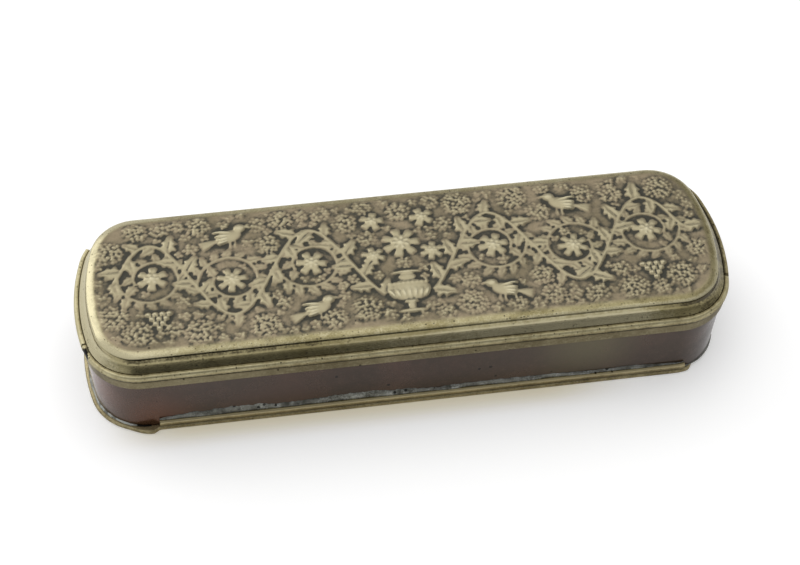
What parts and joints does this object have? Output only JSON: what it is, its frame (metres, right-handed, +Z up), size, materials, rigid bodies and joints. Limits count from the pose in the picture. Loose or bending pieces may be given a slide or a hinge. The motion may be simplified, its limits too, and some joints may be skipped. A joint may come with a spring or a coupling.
{
  "type": "tobacco box",
  "caption": "Oblong hinged tobacco box with bowed ends: stamped brass lid, copper wall and brass base, for loose tobacco or small keepsakes.",
  "frame": {"origin": "middle of the flat underside of the base", "axes": "+X along the box to the right, +Y from the front to the hinge at the back, +Z up"},
  "size_m": [0.165, 0.0508, 0.0264],
  "materials": {
    "stamped_brass": "aged, dull, dark in the recesses and worn pale on the high parts",
    "moulding_brass": "aged satin with small pits",
    "base_brass": "aged satin",
    "hinge_brass": "aged satin, worn at the knuckles",
    "copper": "brown patina with a soft gloss",
    "solder": "dull grey, rough"
  },
  "bodies": {
    "body": {"side_wall": "copper", "top_collar": "moulding_brass", "inner_bezel": "moulding_brass", "base_plate": "base_brass", "base_reed_front": "base_brass", "base_reed_back": "base_brass", "solder_front": "solder", "solder_back": "solder", "solder_left": "solder", "solder_right": "solder", "body_hinge_bearer": "hinge_brass", "body_knuckle_1": "hinge_brass", "body_knuckle_2": "hinge_brass", "body_knuckle_3": "hinge_brass", "body_knuckle_4": "hinge_brass", "body_knuckle_5": "hinge_brass", "hinge_pin": "hinge_brass"},
    "lid": {"lid_plate": "stamped_brass", "lid_bead_front": "moulding_brass", "lid_bead_left": "moulding_brass", "lid_bead_right": "moulding_brass", "lid_hinge_bearer": "hinge_brass", "lid_knuckle_1": "hinge_brass", "lid_knuckle_2": "hinge_brass", "lid_knuckle_3": "hinge_brass", "lid_knuckle_4": "hinge_brass"}
  },
  "joints": [
    {"name": "lid_hinge", "type": "hinge", "parent": "body", "child": "lid", "pos_m": [0, 0.0241, 0.0194], "axis": [-1, 0, 0], "range_deg": [0, 110]}
  ]
}
